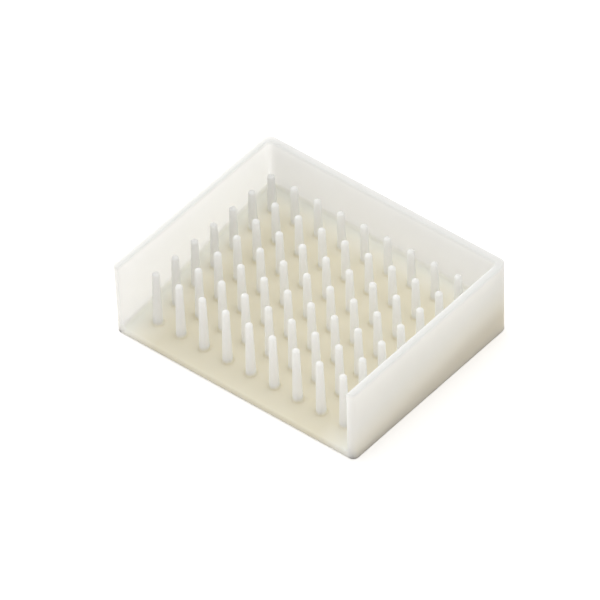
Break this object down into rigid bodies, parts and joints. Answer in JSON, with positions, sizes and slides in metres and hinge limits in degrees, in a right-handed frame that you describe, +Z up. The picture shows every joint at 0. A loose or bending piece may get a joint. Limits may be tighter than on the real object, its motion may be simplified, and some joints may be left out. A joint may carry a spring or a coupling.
{
  "type": "soap tray",
  "caption": "Low silicone soap tray, open along the front, with a sloping drain floor covered in upright tapered pins that hold the bar up to dry.",
  "frame": {"origin": "middle of the footprint on the counter", "axes": "+X along the width to the right wall, +Y from the open front to the back wall, +Z up"},
  "size_m": [0.106, 0.084, 0.0305],
  "materials": {
    "milky_silicone": "translucent milky white silicone with a matt moulded skin"
  },
  "bodies": {
    "root": {"pin_floor": "milky_silicone", "left_wall": "milky_silicone", "right_wall": "milky_silicone", "back_wall": "milky_silicone"}
  },
  "joints": []
}
